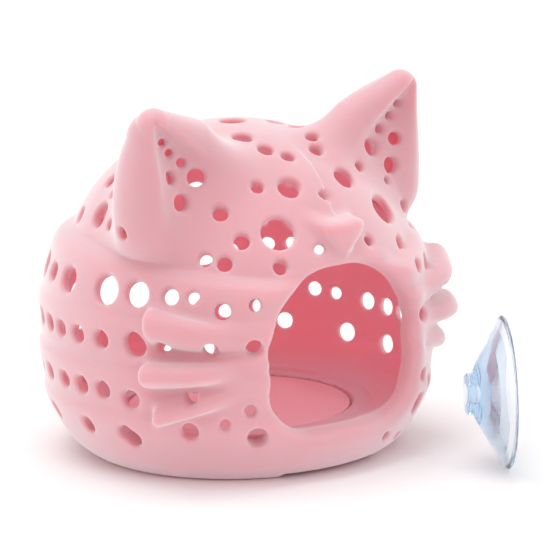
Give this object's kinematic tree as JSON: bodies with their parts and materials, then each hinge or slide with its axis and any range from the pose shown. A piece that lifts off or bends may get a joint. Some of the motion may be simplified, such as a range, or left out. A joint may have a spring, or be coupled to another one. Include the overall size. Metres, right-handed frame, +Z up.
{
  "type": "aquarium hideout cave",
  "caption": "Round perforated aquarium hideout cave shaped as a cat's head, with a front door, rear exit, drop-in floor plate and a loose clear suction cup.",
  "frame": {"origin": "on the dome's axis at the level of the ground it stands on, at the lower end of the peg under the floor", "axes": "+Z up along the dome's axis, -Y out of the face through the front door, +X to the right for someone who looks at the face"},
  "size_m": [0.1096, 0.1432, 0.1027],
  "materials": {
    "shell": "matte pink, fine moulded grain",
    "floor": "matte pink, a little deeper than the shell",
    "cup": "clear soft vinyl with a faint blue tint, glossy"
  },
  "bodies": {
    "cave": {"base_ring": "shell", "left_wall": "shell", "right_wall": "shell", "crown": "shell", "left_ear": "shell", "right_ear": "shell", "nose": "shell", "left_whiskers": "shell", "right_whiskers": "shell", "floor_plate": "floor"},
    "cup": {"suction_cup": "cup"}
  },
  "joints": [
    {"name": "cup_lift", "type": "slide", "parent": "cave", "child": "cup", "axis": [0, 0, 1], "range_m": [0, 0.06]}
  ]
}
